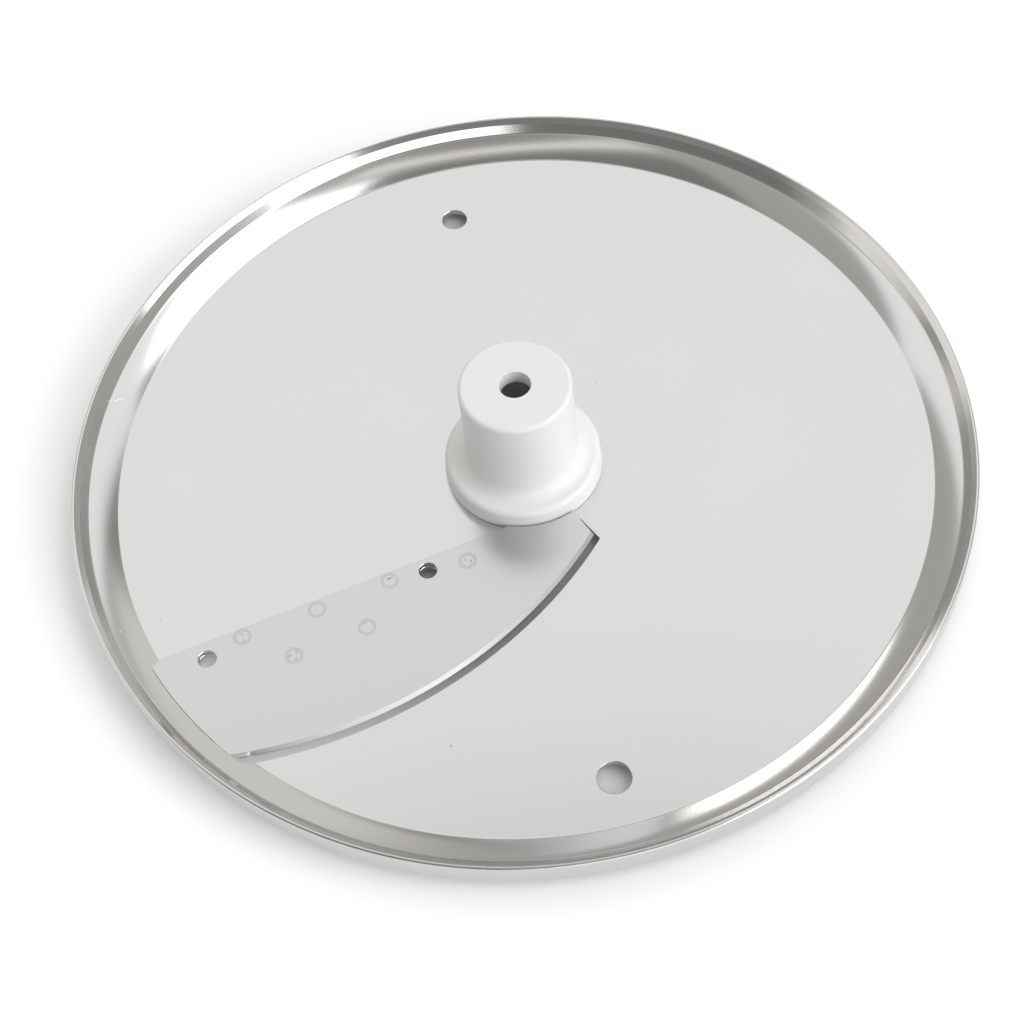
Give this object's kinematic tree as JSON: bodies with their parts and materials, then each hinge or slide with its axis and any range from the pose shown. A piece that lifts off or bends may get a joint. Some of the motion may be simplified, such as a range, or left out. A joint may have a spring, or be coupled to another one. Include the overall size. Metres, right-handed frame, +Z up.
{
  "type": "slicing disc",
  "caption": "Round steel slicing disc with a flared, hemmed rim, a curved blade over a slot, and a white drive hub with a bored top.",
  "frame": {"origin": "on the disc's axis, at the underside of the hub's lower collar, the face that the disc stands on", "axes": "+Z up along the disc's axis, towards the top of the hub; the blade lies on the -X -Y side"},
  "size_m": [0.175, 0.175, 0.028],
  "materials": {
    "satin_stainless": "satin rolled sheet with polished, pressed rim bands",
    "ground_stainless": "satin rolled sheet with a ground bevel at the cutting edge",
    "white_plastic": "smooth moulded, semi-matt"
  },
  "bodies": {
    "root": {"carrier_disc": "satin_stainless", "slicing_blade": "ground_stainless", "drive_hub": "white_plastic"}
  },
  "joints": []
}
